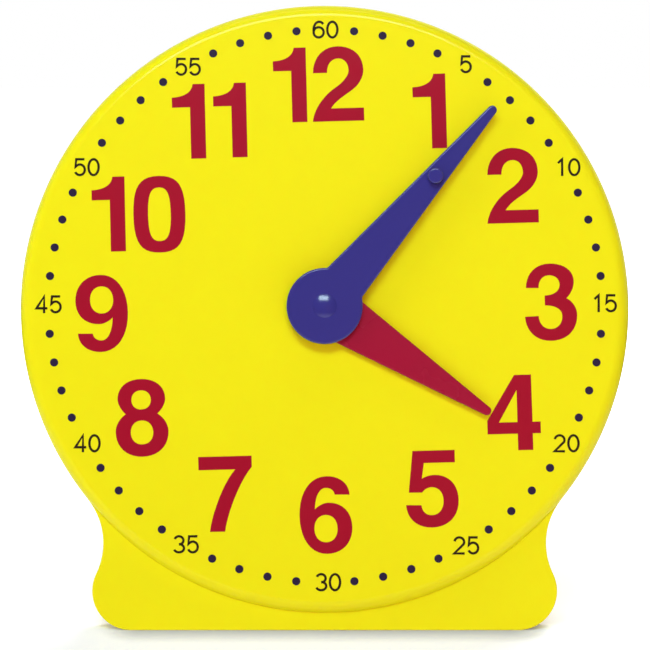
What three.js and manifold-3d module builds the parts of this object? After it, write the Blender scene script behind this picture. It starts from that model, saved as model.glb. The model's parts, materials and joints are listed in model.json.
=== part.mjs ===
// Geared teaching clock: a moulded case on a base with two lobes, hands that turn together through
// motion work of 12 to 1, and a leg that folds out behind.
// Millimetres. Inside the dial's own frame x is right, y is back and z is up along the dial, and the
// hands' axis is the y axis. The dial's frame leans back in the finished model, where z is up.

import * as THREE from 'three';
import { mergeVertices } from 'three/addons/utils/BufferGeometryUtils.js';
import Module from 'manifold-3d';

const wasm = await Module();
wasm.setup();

const { degToRad } = THREE.MathUtils;
const quarterTurn = Math.PI / 2;

// Stance
const leanAngle = degToRad(9);
const legAngle = degToRad(16.5);
const hubHeight = 176.8;

// Clearances
const seatGap = 0.3;
const runningGap = 0.4;
const endFloat = 0.5;
const overrun = 2;

// Case
const discRadius = 167;
const rimDraft = 0.6;
const rimRound = 6.5;
const caseWall = 2.6;
const baseSetback = 5.5;
const baseEdgeRound = 3;
const lobeHalfWidth = 126.6;
const lobeRadius = 21.4;
const neckRadius = 38;
const coverThickness = 2.6;
const coverRecess = 0.2;
const coverGap = 0.4;

// Hands, at about seven minutes past four
const minuteHandAngle = degToRad(40.5);
const hourHandAngle = degToRad(122.8);
const minuteHandLength = 143;
const minuteHandRootHalfWidth = 12.4;
const minuteHandTipRadius = 2.5;
const minuteHandThickness = 3.2;
const minuteHubRadius = 20.7;
const hourHandLength = 107.2;
const hourHandRootHalfWidth = 13.6;
const hourHandTipRadius = 2.5;
const hourHandThickness = 3;
const hourHubRadius = 18.5;
const handEdgeRound = 0.9;
const pegReach = 92.6;
const pegRadius = 4.2;
const pegHeight = 5.2;
const pegShankRadius = 2;
const pegEdgeRound = 0.8;
const pegHoleFloor = 0.9;
const capRadius = 6.2;
const capDepth = 1.2;
const capRise = 1.3;
const dialWasherRadius = 10;
const dialWasherThickness = 1.2;
const handWasherRadius = 9;
const handWasherThickness = 0.6;

// Motion work
const gearDistance = 30;
const cannonTeeth = 15;
const wheelTeeth = 45;
const pinionTeeth = 12;
const hourTeeth = 48;
const pressureAngle = degToRad(20);
const addendumShare = 0.75;
const dedendumShare = 1.1;
const backlash = 0.3;
const arborRadius = 3;
const flatDepth = 0.6;
const pipeWall = 1.8;
const dialBossWall = 3.4;
const dialBossHeight = 2.4;
const hourHubWall = 2.8;
const hourHubLength = 4.3;
const hourWheelThickness = 3.6;
const cannonLength = 4.4;
const wheelGap = 1;
const wheelThickness = 3.2;
const webThickness = 1.7;
const rimWidth = 2.6;
const webHoleCount = 5;
const studRadius = 2;
const studBossWall = 2.6;
const studFaceCover = 1.2;
const wheelHubWall = 2;

// Gear bridge and its fastening
const bridgeThickness = 2.6;
const bridgeArmHalfWidth = 6.5;
const bridgeEyeRadius = 9;
const postRadius = 4.5;
const postMargin = 6;
const screwShankRadius = 1.5;
const screwHeadRadius = 3.2;
const screwHeadHeight = 1.3;
const screwLength = 9;
const screwDriveHalfWidth = 0.45;
const screwDriveDepth = 0.7;
const waveRadius = 5.6;
const waveThickness = 0.5;
const waveLift = 0.35;
const waveCount = 3;
const clipRadius = 5;
const clipThickness = 0.8;
const clipGrooveDepth = 0.8;
const arborTail = 0.6;

// Rear cover's screws, and the bosses that take them
const coverBossRadius = 5;
const coverBossMargin = 7;
const counterboreGap = 0.8;
const counterboreFloor = 1.1;

// Stand leg
const hingeHeight = 22;
const knuckleRadius = 5.5;
const hingePinRadius = 2;
const hingeHeadRadius = 3.4;
const hingeHeadLength = 1.6;
const earThickness = 5;
const earWall = 3.4;
const earFootLength = 20;
const legTopHalfWidth = 27;
const legFootHalfWidth = 38;
const legThickness = 3.6;
const legRibThickness = 2.4;
const legRibDepth = 5;
const legCornerRadius = 7;
const legNotchRadius = 14;
const legHeelLength = 11;
const legHeelThickness = 3;

// Smoothness, as numbers of steps, and the distance within which two points of an outline are one
const samePoint = 0.001;
const discSteps = 96;
const hubSteps = 28;
const smallSteps = 12;
const filletSteps = 3;
const flankSteps = 2;

// Depths along the hands' axis, from the dial's face at zero: forward is negative
const hourHandBack = -(dialWasherThickness + 2 * seatGap);
const hourHandFront = hourHandBack - hourHandThickness;
const minuteHandBack = hourHandFront - handWasherThickness - 2 * seatGap;
const minuteHandFront = minuteHandBack - minuteHandThickness;
const dialBossBack = caseWall + dialBossHeight;
const hourHubFront = dialBossBack + seatGap;
const hourHubBack = hourHubFront + hourHubLength;
const hourWheelBack = hourHubFront + hourWheelThickness;
const cannonFront = hourHubBack + runningGap;
const cannonBack = cannonFront + cannonLength;
const bridgeFront = cannonBack + endFloat;
const bridgeBack = bridgeFront + bridgeThickness;
const wheelFront = hourWheelBack + wheelGap;
const wheelBack = wheelFront + wheelThickness;
const waveFront = bridgeBack + seatGap;
const clipFront = waveFront + waveThickness + 2 * waveLift + seatGap;
const arborBack = clipFront + clipThickness + arborTail;
const coverFront = arborBack + endFloat;
const coverBack = coverFront + coverThickness;
const caseDepth = coverBack + coverRecess;

// Radii and places that follow
const pipeBore = arborRadius + runningGap;
const pipeRadius = pipeBore + pipeWall;
const dialBore = pipeRadius + runningGap;
const toothModule = 2 * gearDistance / (cannonTeeth + wheelTeeth);
const tipRadius = (teeth) => toothModule * (teeth / 2 + addendumShare);
const rootRadius = (teeth) => toothModule * (teeth / 2 - dedendumShare);
const studPlace = new THREE.Vector2(0, -gearDistance);

function solidFrom(geometry) {
  const bare = geometry.clone();
  bare.deleteAttribute('normal');
  bare.deleteAttribute('uv');
  const merged = mergeVertices(bare);
  const kept = [];
  const index = merged.index.array;
  for (let i = 0; i < index.length; i += 3) {
    const [a, b, c] = [index[i], index[i + 1], index[i + 2]];
    if (a !== b && b !== c && c !== a) kept.push(a, b, c);
  }
  return new wasm.Manifold(new wasm.Mesh({
    numProp: 3,
    vertProperties: new Float32Array(merged.attributes.position.array),
    triVerts: new Uint32Array(kept),
  }));
}

function named(name, solid, finish) {
  const { vertProperties, triVerts } = solid.getMesh();
  const geometry = new THREE.BufferGeometry();
  geometry.setAttribute('position', new THREE.BufferAttribute(vertProperties, 3));
  geometry.setIndex(new THREE.BufferAttribute(triVerts, 1));
  geometry.computeVertexNormals();
  const mesh = new THREE.Mesh(geometry, finish);
  mesh.name = name;
  return mesh;
}

const joined = (first, ...others) => others.reduce((sum, next) => sum.add(next), first);
const cutBy = (first, ...tools) => tools.reduce((left, tool) => left.subtract(tool), first);

// A profile of [radius, depth] pairs, turned round the hands' axis
function turned(profile, steps) {
  const points = profile.map(([radius, depth]) => new THREE.Vector2(radius, depth));
  if (THREE.ShapeUtils.isClockWise(points)) points.reverse();
  points.push(points[0].clone());
  return solidFrom(new THREE.LatheGeometry(points, steps));
}

function rod(radius, front, back, place = new THREE.Vector2(), steps = smallSteps) {
  const geometry = new THREE.CylinderGeometry(radius, radius, back - front, steps);
  geometry.translate(place.x, (front + back) / 2, place.y);
  return solidFrom(geometry);
}

function tube(radius, bore, front, back, steps = hubSteps) {
  return turned([[bore, front], [radius, front], [radius, back], [bore, back]], steps);
}

// The same outline without points that coincide, where one arc ends and the next begins
function tidied(shape) {
  const points = shape.getPoints(smallSteps);
  return new THREE.Shape(points.filter((point, i) => (
    point.distanceTo(points[(i + 1) % points.length]) > samePoint)));
}

// A shape drawn as x and z on the dial, given its thickness from front to back
function plate(shape, front, back) {
  const geometry = new THREE.ExtrudeGeometry(tidied(shape), { depth: back - front, bevelEnabled: false });
  geometry.rotateX(quarterTurn);
  geometry.translate(0, back, 0);
  return solidFrom(geometry);
}

// Points along an arc, both ends included
function arc(centre, radius, from, to, steps = smallSteps) {
  return Array.from({ length: steps + 1 }, (_, step) => {
    const angle = from + (to - from) * step / steps;
    return new THREE.Vector2(centre.x + radius * Math.cos(angle), centre.y + radius * Math.sin(angle));
  });
}

// A plate with rounded edges, skinned over copies of its outline that are inset towards each face.
// The outline comes as a function of its inset, and its points run anticlockwise from the front.
function roundedPlate(outlineAt, front, back, frontRound, backRound) {
  const layers = [];
  for (let step = 0; step <= filletSteps; step += 1) {
    const angle = quarterTurn * step / filletSteps;
    layers.push([frontRound * (1 - Math.sin(angle)), front + frontRound * (1 - Math.cos(angle))]);
  }
  for (let step = backRound > 0 ? filletSteps : 0; step >= 0; step -= 1) {
    const angle = quarterTurn * step / filletSteps;
    layers.push([backRound * (1 - Math.sin(angle)), back - backRound * (1 - Math.cos(angle))]);
  }
  const rings = layers.map(([inset]) => outlineAt(inset));
  const count = rings[0].length;
  const positions = rings.flatMap((ring, i) => ring.flatMap((point) => [point.x, layers[i][1], point.y]));
  const index = [];
  for (let ring = 0; ring < rings.length - 1; ring += 1) {
    for (let i = 0; i < count; i += 1) {
      const [a, b] = [ring * count + i, ring * count + (i + 1) % count];
      index.push(a, a + count, b + count, a, b + count, b);
    }
  }
  const last = (rings.length - 1) * count;
  for (const [a, b, c] of THREE.ShapeUtils.triangulateShape(rings[0], [])) index.push(a, b, c);
  for (const [a, b, c] of THREE.ShapeUtils.triangulateShape(rings.at(-1), [])) {
    index.push(last + a, last + c, last + b);
  }
  const geometry = new THREE.BufferGeometry();
  geometry.setAttribute('position', new THREE.Float32BufferAttribute(positions, 3));
  geometry.setIndex(index);
  return solidFrom(geometry);
}

function block(width, depth, height, x, y, z) {
  const geometry = new THREE.BoxGeometry(width, depth, height);
  geometry.translate(x, y, z);
  return solidFrom(geometry);
}

// All that lies below the table, for a frame that is turned about x and whose origin is at a height
function belowTable(turn, originHeight, clear = 0) {
  const size = 4 * discRadius;
  const geometry = new THREE.BoxGeometry(size, size, size);
  geometry.translate(0, 0, clear - originHeight - size / 2);
  geometry.rotateX(-turn);
  return solidFrom(geometry);
}

const originHeight = hubHeight * Math.cos(leanAngle);

// The disc's side wall widens to the back by its draft
const sideRadius = (depth) => discRadius - rimDraft * (caseDepth - depth) / (caseDepth - rimRound);

// Outline of the base: a lobe at each side, drawn in at the neck, which runs into the disc where the
// base's face meets the disc's side
const joinRadius = sideRadius(baseSetback);
const baseBottom = hubHeight - baseSetback * Math.tan(leanAngle);
const lobeCentre = new THREE.Vector2(lobeHalfWidth - lobeRadius, lobeRadius - baseBottom);

// The centre of the arc that touches both the disc and the lobe from outside
function neckCentreFor() {
  const toDisc = joinRadius + neckRadius;
  const toLobe = lobeRadius + neckRadius;
  const apart = lobeCentre.length();
  const along = (toDisc ** 2 - toLobe ** 2 + apart ** 2) / (2 * apart);
  const aside = Math.sqrt(toDisc ** 2 - along ** 2);
  const direction = lobeCentre.clone().normalize();
  const side = new THREE.Vector2(-direction.y, direction.x);
  return direction.multiplyScalar(along).addScaledVector(side, aside);
}

const neckCentre = neckCentreFor();

function baseOutline(inset) {
  const lobeEnd = Math.atan2(neckCentre.y - lobeCentre.y, neckCentre.x - lobeCentre.x);
  const neck = neckRadius + inset;
  const top = neckCentre.y * joinRadius / (joinRadius + neckRadius) - inset;
  const neckEnd = Math.PI - Math.asin((top - neckCentre.y) / neck);
  const right = [
    ...arc(lobeCentre, lobeRadius - inset, -quarterTurn, lobeEnd),
    ...arc(neckCentre, neck, lobeEnd + Math.PI, neckEnd).slice(1),
  ];
  const left = right.map((point) => new THREE.Vector2(-point.x, point.y)).reverse();
  return [...right, ...left];
}

// The disc's half section: flat face, rolled edge, drafted side wall
function discSolid(inset, front, back, edgeRound, roundSteps) {
  const profile = [[0, back], [0, front]];
  const edge = sideRadius(front + edgeRound) - inset;
  for (let step = 0; step <= roundSteps; step += 1) {
    const angle = quarterTurn * step / roundSteps;
    profile.push([
      edge - edgeRound * (1 - Math.sin(angle)),
      front + edgeRound * (1 - Math.cos(angle)),
    ]);
  }
  profile.push([sideRadius(back) - inset, back]);
  return turned(profile, discSteps);
}

// Six screws hold the rear cover: four round the disc and one in each lobe
const coverScrewRing = discRadius - rimDraft - caseWall - coverBossRadius - coverBossMargin;
const coverScrewAngles = [35, 145, -10, 190].map(degToRad);
const coverScrewPlaces = [
  ...coverScrewAngles.map((angle) => new THREE.Vector2(Math.cos(angle), Math.sin(angle))
    .multiplyScalar(coverScrewRing)),
  new THREE.Vector2(lobeCentre.x - coverBossRadius, lobeCentre.y + coverBossRadius),
  new THREE.Vector2(-lobeCentre.x + coverBossRadius, lobeCentre.y + coverBossRadius),
];

// Three posts hold the gear bridge, clear of both large wheels
const postReach = tipRadius(hourTeeth) + postRadius + postMargin;
const postPlaces = [
  new THREE.Vector2(-postReach, gearDistance / 3),
  new THREE.Vector2(postReach, gearDistance / 3),
  new THREE.Vector2(0, -gearDistance - postReach),
];

function frontCase() {
  const shell = joined(
    discSolid(0, 0, caseDepth, rimRound, filletSteps),
    roundedPlate(baseOutline, baseSetback, caseDepth + overrun, baseEdgeRound, 0),
  );
  const hollow = joined(
    discSolid(caseWall, caseWall, caseDepth + overrun, Math.max(rimRound - caseWall, seatGap), 1),
    plate(new THREE.Shape(baseOutline(caseWall)), baseSetback + caseWall, caseDepth + 2 * overrun),
  ).subtract(belowTable(-leanAngle, originHeight, caseWall));
  const back = block(4 * discRadius, discRadius, 4 * discRadius, 0, caseDepth + discRadius / 2, 0);
  let body = cutBy(shell, hollow, belowTable(-leanAngle, originHeight), back);
  const inFace = caseWall / 2;
  body = joined(body, rod(dialBore + dialBossWall, inFace, dialBossBack, undefined, hubSteps));
  body = joined(body, rod(studRadius + seatGap + studBossWall, inFace, dialBossBack, studPlace));
  for (const place of postPlaces) {
    body = joined(body, rod(postRadius, inFace, bridgeFront - seatGap, place));
  }
  for (const place of coverScrewPlaces) {
    const onDisc = place.length() < discRadius - rimDraft - caseWall;
    const start = onDisc ? inFace : baseSetback + inFace;
    body = joined(body, rod(coverBossRadius, start, coverFront - seatGap, place));
  }
  const holes = [
    rod(dialBore, -overrun, dialBossBack + overrun, undefined, hubSteps),
    rod(studRadius + seatGap, studFaceCover, dialBossBack + overrun, studPlace),
  ];
  for (const place of postPlaces) {
    const end = bridgeBack + seatGap - screwLength - endFloat;
    holes.push(rod(screwShankRadius + seatGap, end, bridgeFront + overrun, place));
  }
  for (const place of coverScrewPlaces) {
    const end = coverFront + counterboreFloor + seatGap - screwLength - endFloat;
    holes.push(rod(screwShankRadius + seatGap, end, coverFront + overrun, place));
  }
  return cutBy(body, ...holes);
}

// The hinge's axis, behind the rear cover
const hingeDepth = coverBack + runningGap + knuckleRadius;
const earRadius = hingePinRadius + seatGap + earWall;
const earMiddle = legTopHalfWidth + runningGap + earThickness / 2;

// An ear's side view, from its foot on the cover round the hinge's axis
function hingeEar(side) {
  const foot = hingeDepth - coverBack + overrun / 2;
  const half = earFootLength / 2;
  const shape = new THREE.Shape();
  shape.moveTo(-foot, -half);
  shape.lineTo(0, -earRadius);
  shape.absarc(0, 0, earRadius, -quarterTurn, quarterTurn, false);
  shape.lineTo(-foot, half);
  const geometry = new THREE.ExtrudeGeometry(shape, {
    depth: earThickness, curveSegments: smallSteps, bevelEnabled: false,
  });
  geometry.translate(0, 0, -earThickness / 2);
  geometry.rotateX(quarterTurn);
  geometry.rotateZ(quarterTurn);
  geometry.translate(side * earMiddle, hingeDepth, hingeHeight);
  return solidFrom(geometry);
}

// A rod along x at the hinge's axis
function crossRod(radius, left, right, depth, height, steps = smallSteps) {
  const geometry = new THREE.CylinderGeometry(radius, radius, right - left, steps);
  geometry.rotateZ(quarterTurn);
  geometry.translate((left + right) / 2, depth, height);
  return solidFrom(geometry);
}

function rearCover() {
  const inset = caseWall + coverGap;
  let body = joined(
    rod(sideRadius(coverFront) - inset, coverFront, coverBack, undefined, discSteps),
    plate(new THREE.Shape(baseOutline(inset)), coverFront, coverBack),
  ).subtract(belowTable(-leanAngle, originHeight, inset));
  body = joined(body, hingeEar(-1), hingeEar(1));
  const pinSpan = earMiddle + earThickness;
  const holes = [crossRod(hingePinRadius + seatGap, -pinSpan, pinSpan, hingeDepth, hingeHeight)];
  for (const place of coverScrewPlaces) {
    holes.push(rod(screwShankRadius + seatGap, coverFront - overrun, coverBack + overrun, place));
    holes.push(rod(screwHeadRadius + counterboreGap, coverFront + counterboreFloor,
      coverBack + overrun, place));
  }
  return cutBy(body, ...holes);
}

// A screw along the hands' axis: its head's underside is at zero and its shank runs forward
function screw() {
  const slot = block(2 * screwHeadRadius + overrun, 2 * screwDriveDepth, 2 * screwDriveHalfWidth,
    0, screwHeadHeight, 0);
  const turn = new THREE.Vector2();
  return joined(
    rod(screwHeadRadius, 0, screwHeadHeight, turn),
    turned([
      [0, -screwLength],
      [screwShankRadius / 3, -screwLength],
      [screwShankRadius, -screwLength + 2 * screwShankRadius],
      [screwShankRadius, screwHeadHeight / 2],
      [0, screwHeadHeight / 2],
    ], smallSteps / 2),
  ).subtract(slot);
}

// Outline of one gear, its first tooth pointing along the shape's y axis
function gearOutline(teeth) {
  const pitch = toothModule * teeth / 2;
  const base = pitch * Math.cos(pressureAngle);
  const root = rootRadius(teeth);
  const tip = tipRadius(teeth);
  const involute = (angle) => Math.tan(angle) - angle;
  const pitchHalf = (Math.PI * toothModule - backlash) / (4 * pitch);
  const halfAngle = (radius) => pitchHalf + involute(pressureAngle)
    - involute(Math.acos(Math.min(1, base / radius)));
  const start = Math.max(base, root);
  const flank = [[root, halfAngle(start)]];
  for (let step = 0; step <= flankSteps; step += 1) {
    const radius = start + (tip - start) * step / flankSteps;
    flank.push([radius, halfAngle(radius)]);
  }
  const points = [];
  for (let tooth = 0; tooth < teeth; tooth += 1) {
    const middle = quarterTurn + 2 * Math.PI * tooth / teeth;
    const rising = flank.map(([radius, half]) => [radius, middle - half]);
    const falling = [...flank].reverse().map(([radius, half]) => [radius, middle + half]);
    for (const [radius, angle] of [...rising, ...falling]) {
      points.push(new THREE.Vector2(radius * Math.cos(angle), radius * Math.sin(angle)));
    }
  }
  return new THREE.Shape(points);
}

// Turns a solid that lies on the hands' axis by an angle about that axis, clockwise from the front
function spun(solid, angle) {
  return solid.rotate([0, THREE.MathUtils.radToDeg(angle), 0]);
}

// Thins a wheel's web from its back, between hub and rim, and bores a ring of holes through it
function webCuts(teeth, hubRadius, front, back) {
  const outer = rootRadius(teeth) - rimWidth;
  const cuts = [tube(outer, hubRadius, front + webThickness, back + overrun)];
  const middle = (outer + hubRadius) / 2;
  const holeRadius = (outer - hubRadius) / 3;
  for (let i = 0; i < webHoleCount; i += 1) {
    const angle = 2 * Math.PI * i / webHoleCount;
    const place = new THREE.Vector2(Math.cos(angle), Math.sin(angle)).multiplyScalar(middle);
    cuts.push(rod(holeRadius, front - overrun, back + overrun, place));
  }
  return cuts;
}

// Two flats on a shaft, or in the bore that takes it
function flats(radius, depth, front, back) {
  const reach = radius + overrun;
  const thick = reach - (radius - depth);
  const place = radius - depth + thick / 2;
  const middle = (front + back) / 2;
  return [-1, 1].map((side) => block(thick, back - front, 2 * reach, side * place, middle, 0));
}

function keyedBore(radius, depth, front, back) {
  return cutBy(rod(radius + seatGap, front, back, undefined, hubSteps),
    ...flats(radius + seatGap, depth, front, back));
}

// The wheel's teeth leave a gap where the pinion on the intermediate wheel points a tooth
function hourWheel() {
  const hub = pipeRadius + hourHubWall;
  const teeth = plate(gearOutline(hourTeeth), hourHubFront, hourWheelBack);
  const wheel = cutBy(spun(teeth, Math.PI + Math.PI / hourTeeth),
    ...webCuts(hourTeeth, hub, hourHubFront, hourWheelBack));
  const pipe = cutBy(rod(pipeRadius, hourHandFront + seatGap, hourHubBack, undefined, hubSteps),
    ...flats(pipeRadius, flatDepth, hourHandFront - overrun, hourHandBack + seatGap));
  return joined(wheel, rod(hub, hourHubFront, hourHubBack, undefined, hubSteps), pipe)
    .subtract(rod(pipeBore, hourHandFront - overrun, hourHubBack + overrun, undefined, hubSteps));
}

function intermediateWheel() {
  const hub = studRadius + runningGap + wheelHubWall;
  const front = dialBossBack + endFloat;
  const back = bridgeFront - endFloat;
  const wheel = cutBy(spun(plate(gearOutline(wheelTeeth), wheelFront, wheelBack), Math.PI / wheelTeeth),
    ...webCuts(wheelTeeth, hub + rimWidth, wheelFront, wheelBack));
  const pinion = plate(gearOutline(pinionTeeth), front, wheelFront + webThickness / 2);
  return joined(wheel, pinion, rod(hub, wheelFront, back))
    .subtract(rod(studRadius + runningGap, front - overrun, back + overrun));
}

function cannonPinion() {
  const teeth = spun(plate(gearOutline(cannonTeeth), cannonFront, cannonBack), Math.PI);
  return teeth.subtract(
    keyedBore(arborRadius, flatDepth, cannonFront - overrun, cannonBack + overrun),
  );
}

// The arbor is flatted for the cannon pinion and for the minute hand, and grooved for its clip
function minuteArbor() {
  const front = minuteHandFront + capDepth + seatGap;
  const shaft = rod(arborRadius, front, arborBack, undefined, hubSteps);
  const groove = tube(arborRadius + overrun, arborRadius - clipGrooveDepth,
    clipFront - seatGap, clipFront + clipThickness + seatGap);
  return cutBy(shaft, groove,
    ...flats(arborRadius, flatDepth, front - overrun, minuteHandBack + seatGap),
    ...flats(arborRadius, flatDepth, cannonFront - seatGap, cannonBack + seatGap));
}

// A hand's outline: a round hub, a blade that tapers in straight lines, a round tip
function handOutline(hub, rootHalfWidth, tip, length) {
  const tipCentre = new THREE.Vector2(0, length - tip);
  const rise = tipCentre.y - Math.sqrt(hub ** 2 - rootHalfWidth ** 2);
  const taper = Math.acos(tip / Math.hypot(rootHalfWidth, rise)) - Math.atan2(rise, rootHalfWidth);
  return (inset) => {
    const edge = tipCentre.y * Math.sin(taper) + tip - inset;
    const root = taper + Math.acos(edge / (hub - inset));
    return [
      ...arc(tipCentre, tip - inset, taper, Math.PI - taper, smallSteps / 2),
      ...arc(new THREE.Vector2(), hub - inset, Math.PI - root, 2 * Math.PI + root, hubSteps),
    ];
  };
}

function hourHand() {
  const outline = handOutline(hourHubRadius, hourHandRootHalfWidth, hourHandTipRadius, hourHandLength);
  return roundedPlate(outline, hourHandFront, hourHandBack, handEdgeRound, handEdgeRound)
    .subtract(spun(keyedBore(pipeRadius, flatDepth, hourHandFront - overrun, hourHandBack + overrun),
      -hourHandAngle));
}

function minuteHand() {
  const outline = handOutline(minuteHubRadius, minuteHandRootHalfWidth, minuteHandTipRadius,
    minuteHandLength);
  const pegPlace = new THREE.Vector2(0, pegReach);
  return cutBy(roundedPlate(outline, minuteHandFront, minuteHandBack, handEdgeRound, handEdgeRound),
    spun(keyedBore(arborRadius, flatDepth, minuteHandFront - overrun, minuteHandBack + overrun),
      -minuteHandAngle),
    rod(capRadius + seatGap, minuteHandFront - overrun, minuteHandFront + capDepth, undefined, hubSteps),
    rod(pegShankRadius + seatGap, minuteHandFront - overrun, minuteHandBack - pegHoleFloor, pegPlace));
}

function handPeg() {
  const base = minuteHandFront - seatGap;
  const top = base - pegHeight;
  const profile = [[0, top]];
  for (let step = 0; step <= filletSteps; step += 1) {
    const angle = quarterTurn * step / filletSteps;
    profile.push([
      pegRadius - pegEdgeRound + pegEdgeRound * Math.sin(angle),
      top + pegEdgeRound - pegEdgeRound * Math.cos(angle),
    ]);
  }
  const shankEnd = minuteHandBack - pegHoleFloor - seatGap;
  profile.push([pegRadius, base], [pegShankRadius, base], [pegShankRadius, shankEnd], [0, shankEnd]);
  return turned(profile, smallSteps);
}

// A shallow dome that closes the hub's counterbore
function hubCap() {
  const seat = minuteHandFront + capDepth - seatGap;
  const profile = [[0, seat], [capRadius, seat]];
  for (let step = 0; step <= 2 * filletSteps; step += 1) {
    const angle = quarterTurn * step / (2 * filletSteps);
    profile.push([capRadius * Math.cos(angle), minuteHandFront - capRise * Math.sin(angle)]);
  }
  return turned(profile, hubSteps);
}

// A flat ring bent into waves round its axis
function waveWasher() {
  const middle = waveFront + waveLift;
  const bore = arborRadius + runningGap;
  const profile = [[bore, 0], [waveRadius, 0], [waveRadius, waveThickness], [bore, waveThickness]];
  const points = profile.map(([radius, depth]) => new THREE.Vector2(radius, depth));
  points.push(points[0].clone());
  const geometry = new THREE.LatheGeometry(points, hubSteps);
  const position = geometry.attributes.position;
  for (let i = 0; i < position.count; i += 1) {
    const around = Math.atan2(position.getZ(i), position.getX(i));
    position.setY(i, position.getY(i) + middle + waveLift * Math.cos(waveCount * around));
  }
  return solidFrom(geometry);
}

function arborClip() {
  const bore = arborRadius - clipGrooveDepth + seatGap;
  const ring = tube(clipRadius, bore, clipFront, clipFront + clipThickness);
  return ring.subtract(block(2 * bore, 2 * clipThickness + overrun, clipRadius + overrun,
    0, clipFront, -(clipRadius + overrun) / 2));
}

// A bar with round ends, from one place on the dial to another
function barOutline(from, to, halfWidth) {
  const angle = Math.atan2(to.y - from.y, to.x - from.x);
  const shape = new THREE.Shape();
  shape.absarc(to.x, to.y, halfWidth, angle - quarterTurn, angle + quarterTurn, false);
  shape.absarc(from.x, from.y, halfWidth, angle + quarterTurn, angle + 3 * quarterTurn, false);
  return shape;
}

function gearBridge() {
  const middle = new THREE.Vector2();
  const bars = postPlaces.map((place) => plate(
    barOutline(middle, place, bridgeArmHalfWidth), bridgeFront, bridgeBack));
  const body = joined(rod(bridgeEyeRadius, bridgeFront, bridgeBack, middle, hubSteps), ...bars);
  return cutBy(body,
    rod(arborRadius + runningGap, bridgeFront - overrun, bridgeBack + overrun, middle, hubSteps),
    rod(studRadius + seatGap, bridgeFront - overrun, bridgeBack + overrun, studPlace),
    ...postPlaces.map((place) => rod(screwShankRadius + seatGap, bridgeFront - overrun,
      bridgeBack + overrun, place)));
}

// Stand leg, drawn hanging straight down from the hinge's axis. It widens below the ears' feet only,
// so that it folds flat between them.
const hingeTableHeight = originHeight + hingeHeight * Math.cos(leanAngle)
  - hingeDepth * Math.sin(leanAngle);
const legTilt = legAngle - leanAngle;
const legLength = hingeTableHeight / Math.cos(legTilt);
const legShoulder = earFootLength / 2 + runningGap;

function legOutline() {
  const foot = -legLength - overrun;
  const shape = new THREE.Shape();
  shape.moveTo(-legTopHalfWidth, 0);
  shape.lineTo(-legTopHalfWidth, -legShoulder);
  shape.lineTo(-legFootHalfWidth, foot + legCornerRadius);
  shape.lineTo(-legFootHalfWidth, foot);
  shape.lineTo(-legNotchRadius, foot);
  shape.absarc(0, foot, legNotchRadius, Math.PI, 0, true);
  shape.lineTo(legFootHalfWidth, foot);
  shape.lineTo(legFootHalfWidth, foot + legCornerRadius);
  shape.lineTo(legTopHalfWidth, -legShoulder);
  shape.lineTo(legTopHalfWidth, 0);
  return shape;
}

// A rib down each long edge, deepest at the hinge
function legRib(side) {
  const front = -knuckleRadius;
  const slope = Math.atan2(legFootHalfWidth - legTopHalfWidth, legLength - legShoulder);
  const atHinge = legTopHalfWidth - legRibThickness / 2 - legShoulder * Math.tan(slope);
  const shape = new THREE.Shape();
  shape.moveTo(front + legThickness / 2, 0);
  shape.lineTo(front + legThickness / 2, -legLength);
  shape.lineTo(front + legThickness + legRibDepth / 3, -legLength);
  shape.lineTo(front + legThickness + legRibDepth, 0);
  const geometry = new THREE.ExtrudeGeometry(shape, { depth: legRibThickness, bevelEnabled: false });
  geometry.translate(0, 0, -legRibThickness / 2);
  geometry.rotateX(quarterTurn);
  geometry.rotateZ(quarterTurn);
  geometry.rotateY(-side * slope);
  geometry.translate(side * atHinge, 0, 0);
  return solidFrom(geometry);
}

// The heel above the hinge meets the cover when the leg is open, and stops it there
function legHeel() {
  const geometry = new THREE.BoxGeometry(2 * legTopHalfWidth, legHeelThickness, legHeelLength);
  const front = coverBack + seatGap - hingeDepth;
  geometry.translate(0, front + legHeelThickness / 2, legHeelLength / 2);
  geometry.rotateX(-legAngle);
  return solidFrom(geometry);
}

function standLeg() {
  const board = plate(legOutline(), -knuckleRadius, -knuckleRadius + legThickness);
  const knuckle = crossRod(knuckleRadius, -legTopHalfWidth, legTopHalfWidth, 0, 0);
  return cutBy(joined(board, knuckle, legRib(-1), legRib(1), legHeel()),
    crossRod(hingePinRadius + seatGap, -legFootHalfWidth, legFootHalfWidth, 0, 0),
    belowTable(legTilt, hingeTableHeight));
}

function hingePin() {
  const end = earMiddle + earThickness / 2;
  return joined(
    crossRod(hingePinRadius, -end, end + seatGap + hingeHeadLength / 2, hingeDepth, hingeHeight),
    crossRod(hingeHeadRadius, end + seatGap, end + seatGap + hingeHeadLength, hingeDepth, hingeHeight),
  );
}

// Finishes
const finish = (color, roughness, metalness = 0) => new THREE.MeshStandardMaterial({
  color, roughness, metalness, flatShading: true,
});
const yellowPlastic = finish('#f2e61f', 0.35);
const bluePlastic = finish('#38358a', 0.3);
const redPlastic = finish('#a11a38', 0.35);
const whiteNylon = finish('#e9e6da', 0.5);
const blackNylon = finish('#2b2b2e', 0.55);
const steel = finish('#b4b6b8', 0.35, 1);

// Assembly
const dial = new THREE.Group();
dial.rotation.x = -leanAngle;

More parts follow.
